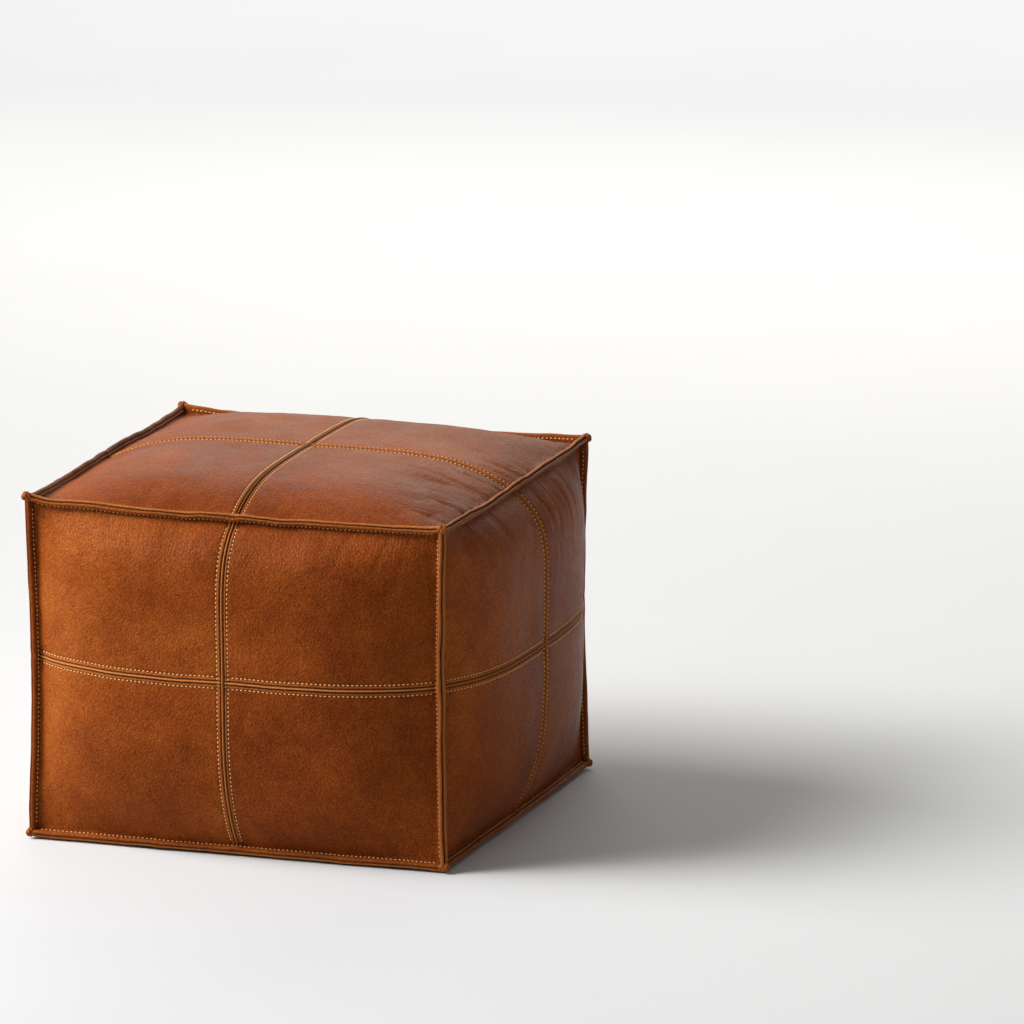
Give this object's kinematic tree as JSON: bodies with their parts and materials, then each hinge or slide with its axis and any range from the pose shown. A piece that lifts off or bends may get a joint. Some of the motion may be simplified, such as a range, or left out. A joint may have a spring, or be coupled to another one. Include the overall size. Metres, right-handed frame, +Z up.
{
  "type": "leather pouf",
  "caption": "Square stuffed leather pouf with cross-seamed panels, flanged edge seams, contrast topstitching and a zip across the underside.",
  "frame": {"origin": "on the ground under the middle of the pouf", "axes": "+Z up, -Y out of the front face, +X out of the right face as seen from the front; the zip runs along X"},
  "size_m": [0.5838, 0.5838, 0.4269],
  "materials": {
    "cognac_leather": "satin",
    "turned_leather_edge": "satin",
    "golden_thread": "satin",
    "cotton_tape": "matte",
    "calico": "matte",
    "foam": "matte",
    "fibre": "matte",
    "zip_tape": "matte",
    "zip_coil": "satin",
    "brass": "satin"
  },
  "bodies": {
    "cover": {"back_panel_lower_left": "cognac_leather", "back_panel_lower_right": "cognac_leather", "back_panel_upper_left": "cognac_leather", "back_panel_upper_right": "cognac_leather", "base_flange_back": "turned_leather_edge", "base_flange_front": "turned_leather_edge", "base_flange_left": "turned_leather_edge", "base_flange_right": "turned_leather_edge", "base_panel_back": "cognac_leather", "base_panel_front": "cognac_leather", "corner_flange_back_left": "turned_leather_edge", "corner_flange_back_right": "turned_leather_edge", "corner_flange_front_left": "turned_leather_edge", "corner_flange_front_right": "turned_leather_edge", "fibre_top_pad": "fibre", "fibre_wrap": "fibre", "foam_core": "foam", "foam_topper": "foam", "front_panel_lower_left": "cognac_leather", "front_panel_lower_right": "cognac_leather", "front_panel_upper_left": "cognac_leather", "front_panel_upper_right": "cognac_leather", "left_panel_lower_left": "cognac_leather", "left_panel_lower_right": "cognac_leather", "left_panel_upper_left": "cognac_leather", "left_panel_upper_right": "cognac_leather", "liner_back": "calico", "liner_base": "calico", "liner_front": "calico", "liner_left": "calico", "liner_right": "calico", "liner_top": "calico", "right_panel_lower_left": "cognac_leather", "right_panel_lower_right": "cognac_leather", "right_panel_upper_left": "cognac_leather", "right_panel_upper_right": "cognac_leather", "stay_tape_back": "cotton_tape", "stay_tape_front": "cotton_tape", "stay_tape_left": "cotton_tape", "stay_tape_right": "cotton_tape", "stay_tape_top": "cotton_tape", "top_flange_back": "turned_leather_edge", "top_flange_front": "turned_leather_edge", "top_flange_left": "turned_leather_edge", "top_flange_right": "turned_leather_edge", "top_panel_back_left": "cognac_leather", "top_panel_back_right": "cognac_leather", "top_panel_front_left": "cognac_leather", "top_panel_front_right": "cognac_leather", "zip_bottom_stop": "brass", "zip_coil_back": "zip_coil", "zip_coil_front": "zip_coil", "zip_tape_back": "zip_tape", "zip_tape_front": "zip_tape", "zip_top_stop_back": "brass", "zip_top_stop_front": "brass"},
    "slider": {"zip_slider": "brass"},
    "pull_tab": {"zip_pull_tab": "brass"}
  },
  "joints": [
    {"name": "zip_slide", "type": "slide", "parent": "cover", "child": "slider", "axis": [-1, 0, 0], "range_m": [0, 0.413]},
    {"name": "pull_tab_hinge", "type": "hinge", "parent": "slider", "child": "pull_tab", "pos_m": [0.2065, 0, 0.0057], "axis": [0, -1, 0], "range_deg": [-11.54, 168.46]}
  ]
}
